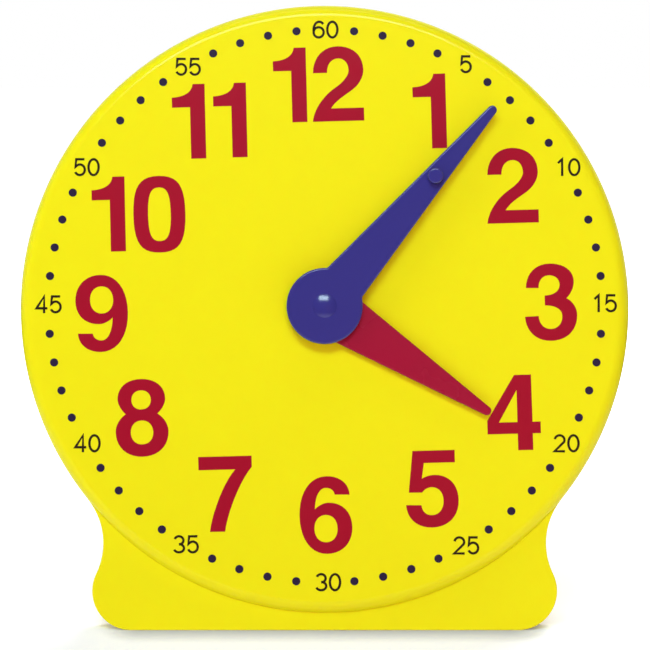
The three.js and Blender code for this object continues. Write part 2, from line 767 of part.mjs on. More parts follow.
dial.add(
  named('front_case', frontCase(), yellowPlastic),
  named('rear_cover', rearCover(), yellowPlastic),
  named('gear_bridge', gearBridge(), blackNylon),
  named('hour_wheel', hourWheel(), whiteNylon),
  named('minute_arbor', minuteArbor(), steel),
  named('cannon_pinion', cannonPinion(), whiteNylon),
  named('wave_washer', waveWasher(), steel),
  named('arbor_clip', arborClip(), steel),
  named('hinge_pin', hingePin(), steel),
  named('dial_washer', tube(dialWasherRadius, pipeRadius + seatGap, hourHandBack + seatGap, -seatGap),
    whiteNylon),
  named('hand_washer', tube(handWasherRadius, arborRadius + runningGap, minuteHandBack + seatGap,
    hourHandFront - seatGap), whiteNylon),
);

const onStud = new THREE.Group();
onStud.position.set(studPlace.x, 0, studPlace.y);
onStud.add(
  named('intermediate_wheel', intermediateWheel(), whiteNylon),
  named('intermediate_stud', rod(studRadius, studFaceCover + seatGap, bridgeBack - seatGap), steel),
);
dial.add(onStud);

const hourSide = new THREE.Group();
hourSide.rotation.y = hourHandAngle;
hourSide.add(named('hour_hand', hourHand(), redPlastic));
dial.add(hourSide);

const minuteSide = new THREE.Group();
minuteSide.rotation.y = minuteHandAngle;
const peg = named('minute_hand_peg', handPeg(), bluePlastic);
peg.position.z = pegReach;
minuteSide.add(
  named('minute_hand', minuteHand(), bluePlastic),
  named('hub_cap', hubCap(), bluePlastic),
  peg,
);
dial.add(minuteSide);

function addScrews(prefix, places, seat) {
  places.forEach((place, index) => {
    const fastener = named(`${prefix}_${index + 1}`, screw(), steel);
    fastener.position.set(place.x, seat, place.y);
    dial.add(fastener);
  });
}
addScrews('bridge_screw', postPlaces, bridgeBack + seatGap);
addScrews('cover_screw', coverScrewPlaces, coverFront + counterboreFloor + seatGap);

const leg = new THREE.Group();
leg.position.set(0, hingeDepth, hingeHeight);
leg.rotation.x = legAngle;
leg.add(named('stand_leg', standLeg(), yellowPlastic));
dial.add(leg);

// The model's origin is on the table, under the middle of the whole clock
const clock = new THREE.Group();
clock.add(dial);
const extent = new THREE.Box3().setFromObject(clock, true);
const middle = extent.getCenter(new THREE.Vector3());
dial.position.set(-middle.x, -middle.y, originHeight);

export default clock;
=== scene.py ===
import json
from math import acos, asin, atan2, cos, hypot, pi, radians, sin, sqrt, tan

import bmesh
import bpy
from mathutils import Matrix, Vector


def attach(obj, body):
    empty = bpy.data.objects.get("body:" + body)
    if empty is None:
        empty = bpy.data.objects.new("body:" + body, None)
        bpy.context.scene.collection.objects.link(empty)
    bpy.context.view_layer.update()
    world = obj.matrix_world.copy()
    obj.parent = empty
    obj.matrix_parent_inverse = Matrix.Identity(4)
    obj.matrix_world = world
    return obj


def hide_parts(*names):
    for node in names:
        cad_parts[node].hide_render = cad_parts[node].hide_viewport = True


# Geared teaching clock. Lengths are millimetres on the dial: x right, y back, z up along the dial,
# and the hands turn on the y axis. dialFrame takes them to the leaning clock, in metres.
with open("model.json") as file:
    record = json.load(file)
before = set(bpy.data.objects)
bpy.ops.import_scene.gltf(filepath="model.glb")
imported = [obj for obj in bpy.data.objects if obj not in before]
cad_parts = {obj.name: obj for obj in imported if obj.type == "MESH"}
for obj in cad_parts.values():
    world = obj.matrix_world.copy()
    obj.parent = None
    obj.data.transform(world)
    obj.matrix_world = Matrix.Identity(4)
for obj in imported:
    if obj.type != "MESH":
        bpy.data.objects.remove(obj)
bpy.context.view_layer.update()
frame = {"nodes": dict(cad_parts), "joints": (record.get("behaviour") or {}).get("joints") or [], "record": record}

mm = 0.001
minuteTurn = next(joint for joint in frame["joints"] if joint["name"] == "minute_turn")
stance = {"lean": 9, "hub": [length / mm for length in minuteTurn["pos_m"]], "hubHeight": 176.8}
lean = radians(stance["lean"])
dialFrame = (Matrix.Scale(mm, 4) @ Matrix.Translation(stance["hub"])
             @ Matrix.Rotation(-lean, 4, "X"))
down = Vector((0, sin(lean), -cos(lean)))
tableSpot = Vector((0, 0, -stance["hubHeight"]))  # where the table meets the dial's plane


def linear(code):  # an sRGB hex colour, as linear RGBA
    channels = [int(code[i:i + 2], 16) / 255 for i in (1, 3, 5)]
    return [c / 12.92 if c <= 0.04045 else ((c + 0.055) / 1.055) ** 2.4 for c in channels] + [1]


# A socket among the inputs is linked, and any other value is set. Inputs 6 and 7 of a colour Mix are
# its two colours, and inputs 1 to 4 of a MapRange say from what to what.
def addNode(tree, kind, inputs, **settings):
    new = tree.nodes.new("ShaderNode" + kind)
    for name, value in settings.items():
        setattr(new, name, value)
    for socket, value in inputs.items():
        if isinstance(value, bpy.types.NodeSocket):
            tree.links.new(value, new.inputs[socket])
        else:
            new.inputs[socket].default_value = value
    return new


def emptyTree(owner):
    owner.use_nodes = True
    owner.node_tree.nodes.clear()
    return owner.node_tree


def seenByEye(tree):  # 1 for the camera's rays and for mirror and glass, else 0
    ray = addNode(tree, "LightPath", {})
    first = addNode(tree, "Math", {0: ray.outputs["Is Camera Ray"], 1: ray.outputs["Is Glossy Ray"]},
                    operation="MAXIMUM")
    return addNode(tree, "Math", {0: first.outputs[0], 1: ray.outputs["Is Transmission Ray"]},
                   operation="MAXIMUM").outputs[0]


# Camera: at the photograph's angle. The clip is in metres
camera = {"elevation": 6, "distance": 1600, "lens": 162.6, "aim": (0.19, 0, -9.9), "clip": 60}
aim = dialFrame @ Vector(camera["aim"])
elevation = radians(camera["elevation"])
eye = bpy.data.objects.new("camera", bpy.data.cameras.new("camera"))
eye.data.lens = camera["lens"]
eye.data.clip_end = camera["clip"]
eye.location = aim + Vector((0, -cos(elevation), sin(elevation))) * camera["distance"] * mm
eye.rotation_euler = (pi / 2 - elevation, 0, 0)
bpy.context.scene.collection.objects.link(eye)
bpy.context.scene.camera = eye
bpy.context.scene.view_settings.view_transform = "Standard"

# Studio: wide soft boxes. Turn and height are degrees as seen from the clock, and sizes are metres. A
# lamp that isn't mirrored lights the clock, but doesn't show in its gloss.
lamps = {
    "windowLamp": {"turn": -4, "height": 38, "away": 2.2, "size": (1.1, 0.55), "watts": 27,
                   "colour": "#dcfaff"},
    "topLamp": {"turn": 0, "height": 86, "away": 2.6, "size": (1.86, 0.4), "watts": 8,
                "colour": "#ffffff"},
    "leftLamp": {"turn": -72, "height": 18, "away": 2.4, "size": (1, 1.4), "watts": 14,
                 "colour": "#ffffff", "mirrored": False},
    "warmLamp": {"turn": 9, "height": 7, "away": 2, "size": (0.5, 0.4), "watts": 9.5,
                 "colour": "#ff9656", "mirrored": False},
    "backLamp": {"turn": 158, "height": 36, "away": 2.4, "size": (1.4, 1), "watts": 38,
                 "colour": "#ffffff", "mirrored": False},
}
for name, lamp in lamps.items():
    light = bpy.data.lights.new(name, "AREA")
    light.shape = "RECTANGLE"
    light.size, light.size_y = lamp["size"]
    light.energy = lamp["watts"]
    light.color = linear(lamp["colour"])[:3]
    turn, height = radians(lamp["turn"]), radians(lamp["height"])
    towards = Vector((sin(turn) * cos(height), -cos(turn) * cos(height), sin(height)))
    holder = bpy.data.objects.new(name, light)
    holder.location = aim + towards * lamp["away"]
    holder.rotation_euler = towards.to_track_quat("Z", "Y").to_euler()
    holder.visible_glossy = lamp.get("mirrored", True)
    bpy.context.scene.collection.objects.link(holder)

# The surround is white where it is seen. In reflections the room in front of the clock is dim, and
# brightens towards the back: dimTo and brightFrom say how far back a direction points, from -1 to 1.
surround = {"light": 0.14, "tint": "#ffe4cc", "room": 0.1, "dimTo": -0.3, "brightFrom": 0.5}
world = bpy.data.worlds.new("surround")
bpy.context.scene.world = world
sky = emptyTree(world)
way = addNode(sky, "TexCoord", {}).outputs["Generated"]
backwards = addNode(sky, "SeparateXYZ", {0: way}).outputs["Y"]
room = addNode(sky, "MapRange", {0: backwards, 1: surround["dimTo"], 2: surround["brightFrom"],
                                 3: surround["room"], 4: 1})
straight = addNode(sky, "LightPath", {}).outputs["Is Camera Ray"]
level = addNode(sky, "Math", {0: straight, 1: room.outputs[0]}, operation="MAXIMUM")
dim = addNode(sky, "Background", {"Color": linear(surround["tint"]), "Strength": surround["light"]})
white = addNode(sky, "Background", {"Color": linear("#ffffff"), "Strength": level.outputs[0]})
mixed = addNode(sky, "MixShader", {0: seenByEye(sky), 1: dim.outputs[0], 2: white.outputs[0]})
addNode(sky, "OutputWorld", {"Surface": mixed.outputs[0]})

# Floor of white paper, in metres. It has a painted shadow close round the clock's foot, with a soft
# edge, and glows white with distance. Mirrored in the clock it turns dim a short way off, a painted reflection of
# a dim room.
floor = {"size": 24, "colour": "#f1f2fe", "paintedShadow": "#9699b3", "dim": "#404040", "foot": (0.1, 0.014),
         "middle": -0.014, "soft": (0.024, 0.043), "glow": (0.3, 1), "far": (0.15, 0.9),
         "mirrored": (0.35, 0.8)}


def whitePaper():
    material = bpy.data.materials.new("whitePaper")
    tree = emptyTree(material)
    spot = addNode(tree, "TexCoord", {}).outputs["Object"]
    away = addNode(tree, "VectorMath", {0: spot}, operation="LENGTH").outputs["Value"]
    seen = seenByEye(tree)
    # Mask of the painted shadow, from 0 at the foot to 1 past the soft edge
    centred = addNode(tree, "VectorMath", {0: spot, 1: (0, floor["middle"], 0)}, operation="SUBTRACT")
    sizes = addNode(tree, "VectorMath", {0: centred.outputs[0]}, operation="ABSOLUTE")
    past = addNode(tree, "VectorMath", {0: sizes.outputs[0], 1: (*floor["foot"], 0)},
                   operation="SUBTRACT")
    outside = addNode(tree, "VectorMath", {0: past.outputs[0], 1: (0, 0, 0)}, operation="MAXIMUM")
    scaled = addNode(tree, "VectorMath", {0: outside.outputs[0], 1: (*floor["soft"], 1)},
                     operation="DIVIDE")
    clear = addNode(tree, "VectorMath", {0: scaled.outputs[0]}, operation="LENGTH")
    fade = addNode(tree, "MapRange", {0: clear.outputs["Value"]})
    # The paper's colour, with a painted shadow at the foot that only the eye sees
    unseen = addNode(tree, "Math", {0: 1, 1: seen}, operation="SUBTRACT")
    pale = addNode(tree, "Math", {0: fade.outputs[0], 1: unseen.outputs[0]}, operation="MAXIMUM")
    tone = addNode(tree, "Mix", {0: pale.outputs[0], 6: linear(floor["paintedShadow"]),
                                 7: linear(floor["colour"])}, data_type="RGBA")
    # Painted reflection: in the clock's gloss the paper turns dark grey past the mirrored distance, standing in
    # for a dim room
    mirror = addNode(tree, "LightPath", {}).outputs["Is Glossy Ray"]
    beyond = addNode(tree, "MapRange", {0: away, 1: floor["mirrored"][0], 2: floor["mirrored"][1]})
    hidden = addNode(tree, "Math", {0: mirror, 1: beyond.outputs[0]}, operation="MULTIPLY")
    shown = addNode(tree, "Mix", {0: hidden.outputs[0], 6: tone.outputs[2], 7: linear(floor["dim"])},
                    data_type="RGBA")
    matt = addNode(tree, "BsdfDiffuse", {"Color": shown.outputs[2]})
    # The glow, for the eye alone, held back at the foot under the painted shadow
    wide = addNode(tree, "MapRange", {0: away, 1: floor["far"][0], 2: floor["far"][1],
                                      3: floor["glow"][0], 4: floor["glow"][1]})
    strength = addNode(tree, "Math", {0: wide.outputs[0], 1: fade.outputs[0]}, operation="MULTIPLY")
    lit = addNode(tree, "Math", {0: seen, 1: strength.outputs[0]}, operation="MULTIPLY")
    left = addNode(tree, "Math", {0: 1, 1: hidden.outputs[0]}, operation="SUBTRACT")
    bright = addNode(tree, "Math", {0: lit.outputs[0], 1: left.outputs[0]}, operation="MULTIPLY")
    glow = addNode(tree, "Emission", {"Strength": bright.outputs[0]})
    both = addNode(tree, "AddShader", {0: matt.outputs[0], 1: glow.outputs[0]})
    addNode(tree, "OutputMaterial", {"Surface": both.outputs[0]})
    return material


sheet = bmesh.new()
bmesh.ops.create_grid(sheet, x_segments=1, y_segments=1, size=floor["size"] / 2)
floorMesh = bpy.data.meshes.new("floor")
sheet.to_mesh(floorMesh)
sheet.free()
floorMesh.materials.append(whitePaper())
floorPiece = bpy.data.objects.new("floor", floorMesh)
bpy.context.scene.collection.objects.link(floorPiece)
print("camera, lamps and floor")

# Finishes. Each has a soft cloud of tone and gloss, and a fine surface. Cloud and grain are in mm, and
# the grain is drawn coarser than the real one, so that it shows.
surface = {"bump": 0.1, "inside": 3}  # how deep the grain goes, and how far light goes in, in mm


def finish(name, look):
    material = bpy.data.materials.new(name)
    tree = emptyTree(material)
    place = addNode(tree, "TexCoord", {}).outputs["Object"]
    cloud = addNode(tree, "TexNoise", {"Vector": place, "Scale": 1 / (look["cloud"] * mm), "Detail": 3})
    tone = addNode(tree, "Mix", {0: cloud.outputs[0], 6: linear(look["colour"]), 7: linear(look["deeper"])},
                   data_type="RGBA")
    low, high = look["roughness"]
    gloss = addNode(tree, "MapRange", {0: cloud.outputs[0], 3: low, 4: high},
                    interpolation_type="SMOOTHSTEP")
    grain = addNode(tree, "TexNoise", {"Vector": place, "Scale": 1 / (look["grain"] * mm), "Detail": 2})
    bump = addNode(tree, "Bump", {"Height": grain.outputs[0], "Strength": look["relief"],
                                  "Distance": surface["bump"] * mm})
    shader = addNode(tree, "BsdfPrincipled", {
        "Base Color": tone.outputs[2], "Roughness": gloss.outputs[0], "Normal": bump.outputs[0],
        "IOR": look.get("ior", 1.5), "Metallic": look.get("metal", 0),
        "Specular IOR Level": look.get("shine", 0.5),
        "Subsurface Weight": look.get("inside", 0), "Subsurface Scale": surface["inside"] * mm,
        "Subsurface Radius": look.get("reach", (1, 1, 1)),
    })
    addNode(tree, "OutputMaterial", {"Surface": shader.outputs[0]})
    return material


# ABS moulded in a polished tool: clean, softly glossy, and light goes a little way into the yellow
mouldedAbs = {"relief": 0.05, "ior": 1.54}
yellowAbs = finish("yellowAbs", {**mouldedAbs, "colour": "#f2ed19", "deeper": "#f0ea17", "cloud": 60,
                                 "roughness": (0.15, 0.21), "grain": 0.6, "shine": 0.16,
                                 "inside": 0.1, "reach": (1, 0.3, 0.05)})
blueAbs = finish("blueAbs", {**mouldedAbs, "colour": "#373388", "deeper": "#343085", "cloud": 30,
                             "roughness": (0.13, 0.19), "grain": 0.5, "shine": 0.48})
redAbs = finish("redAbs", {**mouldedAbs, "colour": "#a20c36", "deeper": "#9e0a33", "cloud": 30,
                           "roughness": (0.22, 0.3), "grain": 0.5, "shine": 0.25})
# Pad-printed ink: thin, satin and slightly uneven. Red for the hours, navy for the dots, black for
# the minutes
padPrint = {"cloud": 8, "roughness": (0.2, 0.26), "grain": 0.3, "relief": 0.05, "shine": 0.18}
redInk = finish("redInk", {**padPrint, "colour": "#a5102d", "deeper": "#a00e2b"})
navyInk = finish("navyInk", {**padPrint, "colour": "#2a1f3c", "deeper": "#2e2346"})
blackInk = finish("blackInk", {**padPrint, "colour": "#2a2016", "deeper": "#2e2418"})
# Acetal: self-coloured white, satin, waxy
whiteAcetal = finish("whiteAcetal", {"colour": "#e9e6da", "deeper": "#e4e0d2", "cloud": 12,
                                     "roughness": (0.4, 0.5), "grain": 0.4, "relief": 0.1, "inside": 0.1})
# Nylon with glass fibre: matt black, slightly grainy
blackNylon = finish("blackNylon", {"colour": "#2b2b2e", "deeper": "#303033", "cloud": 12,
                                   "roughness": (0.5, 0.62), "grain": 0.4, "relief": 0.3})
# Steel under zinc plating: pale, slightly blue, with a softly scattered highlight
zincSteel = finish("zincSteel", {"colour": "#c3c6c9", "deeper": "#b6babf", "cloud": 6, "metal": 1,
                                 "roughness": (0.28, 0.4), "grain": 0.3, "relief": 0.2})
print("finishes")

# Modelling helpers
merged = 0.001  # points closer than this, in mm, are one
creaseFrom = 35  # edges that turn by more than this, in degrees, keep a crease
roundFrom = 0.6  # only edges that turn by more than this, in radians, are rounded


def smoothPiece(mesh, name, body, material, place=dialFrame):
    bmesh.ops.transform(mesh, matrix=place, verts=mesh.verts)
    data = bpy.data.meshes.new(name)
    mesh.to_mesh(data)
    mesh.free()
    data.shade_smooth()
    data.set_sharp_from_angle(angle=radians(creaseFrom))
    data.materials.append(material)
    piece = bpy.data.objects.new(name, data)
    bpy.context.scene.collection.objects.link(piece)
    even = piece.modifiers.new("evenNormals", "WEIGHTED_NORMAL")
    even.keep_sharp = True
    even.weight = 100
    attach(piece, body)
    return piece


def combined(mesh, operation, *tools):
    data = bpy.data.meshes.new("work")
    mesh.to_mesh(data)
    mesh.free()
    target = bpy.data.objects.new("work", data)
    bpy.context.scene.collection.objects.link(target)
    helpers = []
    for tool in tools:
        toolData = bpy.data.meshes.new("tool")
        tool.to_mesh(toolData)
        tool.free()
        helper = bpy.data.objects.new("tool", toolData)
        bpy.context.scene.collection.objects.link(helper)
        helpers.append(helper)
        cut = target.modifiers.new("cut", "BOOLEAN")
        cut.operation = operation
        cut.solver = "EXACT"
        cut.object = helper
    graph = bpy.context.evaluated_depsgraph_get()
    result = bmesh.new()
    result.from_mesh(target.evaluated_get(graph).to_mesh())
    for thing in [target, *helpers]:
        bpy.data.objects.remove(thing)
    return result


def spun(profile, steps):  # a closed profile of (radius, depth) turned about the hands' axis
    mesh = bmesh.new()
    points = [mesh.verts.new((radius, depth, 0)) for radius, depth in profile]
    sides = [mesh.edges.new(pair) for pair in zip(points, points[1:] + points[:1])]
    bmesh.ops.spin(mesh, geom=points + sides, cent=(0, 0, 0), axis=(0, 1, 0), angle=2 * pi,
                   steps=steps, use_merge=True)
    bmesh.ops.remove_doubles(mesh, verts=mesh.verts, dist=merged)
    onAxis = [edge for edge in mesh.edges if all(hypot(v.co.x, v.co.z) < merged for v in edge.verts)]
    bmesh.ops.delete(mesh, geom=onAxis, context="EDGES")
    bmesh.ops.recalc_face_normals(mesh, faces=mesh.faces)
    return mesh


def disc(radius, front, back, place=(0, 0), steps=64):
    mesh = bmesh.new()
    bmesh.ops.create_cone(mesh, cap_ends=True, segments=steps, radius1=radius, radius2=radius,
                          depth=back - front)
    bmesh.ops.rotate(mesh, verts=mesh.verts, matrix=Matrix.Rotation(pi / 2, 3, "X"))
    bmesh.ops.translate(mesh, verts=mesh.verts, vec=(place[0], (front + back) / 2, place[1]))
    return mesh


def arcFrom(mesh, vertex, centre, angle, steps):  # grows an outline along an arc, anticlockwise
    grown = bmesh.ops.spin(mesh, geom=[vertex], cent=(centre[0], vertex.co.y, centre[1]),
                           axis=(0, -1, 0), angle=angle, steps=steps)
    return grown["geom_last"][0]


def thickened(mesh, back):  # fills a closed outline and gives it its thickness
    filled = bmesh.ops.contextual_create(mesh, geom=mesh.edges)["faces"]
    front = mesh.verts[:][0].co.y
    grown = bmesh.ops.extrude_face_region(mesh, geom=filled)["geom"]
    moved = [item for item in grown if isinstance(item, bmesh.types.BMVert)]
    bmesh.ops.translate(mesh, verts=moved, vec=(0, back - front, 0))
    bmesh.ops.recalc_face_normals(mesh, faces=mesh.faces)
    return mesh


def atDepth(*depths):  # a test for points that lie at one of these depths
    return lambda point: min(abs(point.y - depth) for depth in depths) < merged


def rounded(mesh, ease, chosen=lambda point: True):  # rounds the edges that the test picks
    radius, segments = ease
    edges = [edge for edge in mesh.edges if edge.is_manifold and edge.calc_face_angle(0) > roundFrom
             and chosen(edge.verts[0].co) and chosen(edge.verts[1].co)]
    bmesh.ops.bevel(mesh, geom=edges, offset=radius, segments=segments, profile=0.5,
                    affect="EDGES", material=-1, clamp_overlap=True)
    return mesh


def cutOff(mesh, point, way):  # takes away what lies past a plane, and closes the cut
    bmesh.ops.bisect_plane(mesh, geom=mesh.verts[:] + mesh.edges[:] + mesh.faces[:],
                           plane_co=point, plane_no=way, clear_outer=True)
    bmesh.ops.holes_fill(mesh, edges=[edge for edge in mesh.edges if edge.is_boundary])
    return mesh


def cutByTable(mesh, clear=0):
    return cutOff(mesh, tableSpot - down * clear, down)


def mirrored(mesh):  # completes an outline drawn for its right half
    bmesh.ops.mirror(mesh, geom=mesh.verts[:] + mesh.edges[:], matrix=Matrix.Identity(4),
                     merge_dist=merged, axis="X")
    ends = [point for point in mesh.verts if len(point.link_edges) == 1]
    for height in {round(point.co.z, 2) for point in ends}:
        mesh.edges.new([point for point in ends if abs(point.co.z - height) < 10 * merged])
    return mesh


def crosswise(mesh):  # turns what was made along y to lie along x
    bmesh.ops.rotate(mesh, verts=mesh.verts, matrix=Matrix.Rotation(-pi / 2, 3, "Z"))
    return mesh


# Front case: the disc with its rolled rim, on a base with two lobes. The wall is drafted from the rim
# out to the full radius at the back, and the hollow runs past the back by over, once for each form.
# The hour pipe's hole is (radius, front, back), and a round or an ease is (radius, segments).
case = {"radius": 166.95, "rim": 166.12, "face": 0.05, "rimRound": (6.5, 14), "innerSegments": 4,
        "wall": 2.6, "depth": 24, "setback": 5.5, "baseRound": (3, 8), "ease": (0.4, 3), "lobe": 21.4,
        "halfWidth": 126.6, "neck": 38, "join": 166.37, "over": (2, 2.5), "pipeHole": (5.6, -2, 8),
        "steps": 192, "lobeSteps": 40, "neckSteps": 30}


def discBody(inset, front, back, edgeRound):
    slope = (case["radius"] - case["rim"]) / case["depth"]
    mesh = spun([(0, front), (case["rim"] + slope * front - inset, front),
                 (case["rim"] + slope * back - inset, back), (0, back)], case["steps"])
    return rounded(mesh, edgeRound, atDepth(front))


def baseBody(inset, front, back):
    bottom = stance["hubHeight"] - case["setback"] * tan(lean)
    lobe = Vector((case["halfWidth"] - case["lobe"], case["lobe"] - bottom))
    toDisc, toLobe = case["join"] + case["neck"], case["lobe"] + case["neck"]
    along = (toDisc ** 2 - toLobe ** 2 + lobe.length_squared) / (2 * lobe.length)
    way = lobe.normalized()
    neck = way * along + Vector((-way.y, way.x)) * sqrt(toDisc ** 2 - along ** 2)
    lobeEnd = atan2(neck.y - lobe.y, neck.x - lobe.x)
    top = neck.y * case["join"] / toDisc - inset
    neckEnd = pi - asin((top - neck.y) / (case["neck"] + inset))
    mesh = bmesh.new()
    first = mesh.verts.new((lobe.x, front, lobe.y - case["lobe"] + inset))
    turn = arcFrom(mesh, first, lobe, pi / 2 + lobeEnd, case["lobeSteps"])
    arcFrom(mesh, turn, neck, neckEnd - lobeEnd - pi, case["neckSteps"])
    return thickened(mirrored(mesh), back)


discPart = discBody(0, case["face"], case["depth"], case["rimRound"])
basePart = rounded(baseBody(0, case["setback"], case["depth"]), case["baseRound"],
                   atDepth(case["setback"]))
shell = combined(rounded(discPart, case["ease"], atDepth(case["depth"])), "UNION",
                 rounded(basePart, case["ease"], atDepth(case["depth"])))
innerRound = (case["rimRound"][0] - case["wall"], case["innerSegments"])
hollow = combined(
    discBody(case["wall"], case["wall"], case["depth"] + case["over"][0], innerRound), "UNION",
    baseBody(case["wall"], case["setback"] + case["wall"], case["depth"] + case["over"][1]))
shell = combined(cutByTable(shell), "DIFFERENCE", cutByTable(hollow, case["wall"]),
                 disc(*case["pipeHole"]))
frontCase = smoothPiece(shell, "dial_case", "case", yellowAbs)
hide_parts("front_case")
print("front case", len(frontCase.data.polygons))

# Rear cover: a plate let into the case, with two ears for the leg's hinge and six sunk screws
cover = {"inset": 3, "front": 21.2, "back": 23.8, "frontEase": (0.2, 1), "ease": (0.4, 3),
         "ring": 151.7, "angles": (35, 145, -10, 190), "lobes": (100.2, -149.5), "sink": 4,
         "sinkFloor": 22.3, "sinkSteps": 48, "over": 1}
hinge = {"depth": 29.7, "height": 22, "bore": 2.3, "boreReach": 40, "boreSteps": 32, "ear": 5.7,
         "earThick": 5, "earMiddle": 29.9, "earFoot": 20, "earSunk": 0.5, "earEase": (0.6, 4),
         "earSteps": 24}
coverSpots = [(cover["ring"] * cos(radians(angle)), cover["ring"] * sin(radians(angle)))
              for angle in cover["angles"]]
coverSpots += [(side * cover["lobes"][0], cover["lobes"][1]) for side in (1, -1)]


def hingeEar(side):  # drawn from the side and turned about, its foot a little inside the cover
    foot = cover["back"] - hinge["depth"] - hinge["earSunk"]
    half = hinge["earFoot"] / 2
    mesh = bmesh.new()
    first = mesh.verts.new((foot, -hinge["earThick"] / 2, -half))
    below = mesh.verts.new((0, -hinge["earThick"] / 2, -hinge["ear"]))
    mesh.edges.new((first, below))
    above = arcFrom(mesh, below, (0, 0), pi, hinge["earSteps"])
    last = mesh.verts.new((foot, -hinge["earThick"] / 2, half))
    mesh.edges.new((above, last))
    mesh.edges.new((last, first))
    rounded(thickened(mesh, hinge["earThick"] / 2), hinge["earEase"])
    bmesh.ops.rotate(mesh, verts=mesh.verts, matrix=Matrix.Rotation(pi / 2, 3, "Z"))
    bmesh.ops.translate(mesh, verts=mesh.verts,
                        vec=(side * hinge["earMiddle"], hinge["depth"], hinge["height"]))
    return mesh


def hingeBore():
    return crosswise(disc(hinge["bore"], -hinge["boreReach"], hinge["boreReach"],
                          steps=hinge["boreSteps"]))


sheetPart = combined(
    discBody(cover["inset"], cover["front"], cover["back"], cover["frontEase"]), "UNION",
    baseBody(cover["inset"], cover["front"], cover["back"]))
sinks = [disc(cover["sink"], cover["sinkFloor"], cover["back"] + cover["over"], spot, cover["sinkSteps"])
         for spot in coverSpots]
sheetPart = combined(cutByTable(sheetPart, cover["inset"]), "DIFFERENCE", *sinks)
rounded(sheetPart, cover["ease"], atDepth(cover["back"]))
coverBore = hingeBore()
bmesh.ops.translate(coverBore, verts=coverBore.verts, vec=(0, hinge["depth"], hinge["height"]))
sheetPart = combined(combined(sheetPart, "UNION", hingeEar(1), hingeEar(-1)), "DIFFERENCE", coverBore)
rearCover = smoothPiece(sheetPart, "back_cover", "case", yellowAbs)
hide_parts("rear_cover")

# Pan-head screws with a driver slot
screw = {"head": 3.2, "seat": 22.6, "high": 1.3, "ease": (0.45, 5), "shank": 1.5, "end": 13.6,
         "slot": 0.45, "slotDepth": 0.7, "steps": 40}
for number, spot in enumerate(coverSpots, 1):
    top = screw["seat"] + screw["high"]
    turned = spun([(0, top), (screw["head"], top), (screw["head"], screw["seat"]),
                   (screw["shank"], screw["seat"]), (screw["shank"], screw["end"] + 2 * screw["shank"]),
                   (screw["shank"] / 3, screw["end"]), (0, screw["end"])], screw["steps"])
    rounded(turned, screw["ease"], atDepth(top))
    blade = bmesh.new()
    bmesh.ops.create_cube(blade, size=1)
    bmesh.ops.scale(blade, verts=blade.verts, vec=(3 * screw["head"], 2 * screw["slotDepth"],
                                                   2 * screw["slot"]))
    bmesh.ops.translate(blade, verts=blade.verts, vec=(0, top, 0))
    headed = combined(turned, "DIFFERENCE", blade)
    screwPiece = smoothPiece(headed, "case_screw_" + str(number), "case", zincSteel,
                             dialFrame @ Matrix.Translation((spot[0], 0, spot[1])))
    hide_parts("cover_screw_" + str(number))

# Hinge pin: a plain rod with one round head, through both ears and the leg's knuckle
pin = {"radius": 2, "head": 3.4, "left": -32.4, "headFrom": 32.7, "right": 34.3, "ease": (0.35, 4),
       "steps": 40}
rod = spun([(0, pin["left"]), (pin["radius"], pin["left"]), (pin["radius"], pin["headFrom"]),
            (pin["head"], pin["headFrom"]), (pin["head"], pin["right"]), (0, pin["right"])], pin["steps"])
rounded(rod, pin["ease"], atDepth(pin["left"], pin["right"]))
hingePlace = dialFrame @ Matrix.Translation((0, hinge["depth"], hinge["height"]))
pinPiece = smoothPiece(crosswise(rod), "stand_pin", "case", zincSteel, hingePlace)
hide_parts("hinge_pin")
print("rear cover, screws and pin")

# Stand leg, drawn hanging from its hinge: a channel with a rib down each edge, a knuckle, a heel that
# stops it against the cover, and a notch for a fingertip at the foot. The overs are cut off again.
leg = {"angle": 16.5, "top": 27, "shoulder": 10.4, "foot": 38, "lip": 7, "notch": 14, "front": -5.5,
       "web": -1.9, "ribTop": 3.1, "ribFoot": -0.23, "rib": 2.4, "ease": (0.6, 4), "knuckle": 5.45,
       "heel": 11, "heelThick": 3, "heelGap": 0.1, "heelInset": 0.2, "over": 1, "boardOver": 0.5,
       "pocketOver": 2, "notchSteps": 20}
legTilt = radians(leg["angle"] - stance["lean"])
legDown = Vector((0, -sin(legTilt), -cos(legTilt)))
hingeAbove = (stance["hubHeight"] + hinge["height"]) * cos(lean) - hinge["depth"] * sin(lean)
legLength = hingeAbove / cos(legTilt)


def legOutline(inset, front, notch):
    foot = -legLength - leg["over"]
    mesh = bmesh.new()
    run = [(leg["top"] - inset, 0 if notch else leg["over"]), (leg["top"] - inset, -leg["shoulder"]),
           (leg["foot"] - inset, foot + leg["lip"]), (leg["foot"] - inset, foot)]
    points = [mesh.verts.new((x, front, z)) for x, z in run]
    if notch:
        points.append(mesh.verts.new((leg["notch"], front, foot)))
        arcFrom(mesh, points[-1], (0, foot), pi / 2, leg["notchSteps"])
    for pair in zip(points, points[1:]):
        mesh.edges.new(pair)
    return mirrored(mesh)


board = thickened(legOutline(0, leg["front"], True), leg["ribTop"] + leg["boardOver"])
cutOff(board, (0, leg["ribTop"], 0), (0, legLength, leg["ribFoot"] - leg["ribTop"]))
pocket = thickened(legOutline(leg["rib"], leg["web"], False), leg["ribTop"] + leg["pocketOver"])
board = combined(board, "DIFFERENCE", pocket)
cutOff(board, legDown * hingeAbove, legDown)
rounded(board, leg["ease"])
knuckle = rounded(disc(leg["knuckle"], -leg["top"], leg["top"]), leg["ease"])
heel = bmesh.new()
bmesh.ops.create_cube(heel, size=1)
bmesh.ops.scale(heel, verts=heel.verts, vec=(2 * (leg["top"] - leg["heelInset"]), leg["heelThick"],
                                             leg["heel"]))
bmesh.ops.translate(heel, verts=heel.verts, vec=(0, leg["front"] - leg["heelGap"] + leg["heelThick"] / 2,
                                                 leg["heel"] / 2))
rounded(heel, leg["ease"])
bmesh.ops.rotate(heel, verts=heel.verts, matrix=Matrix.Rotation(radians(-leg["angle"]), 3, "X"))
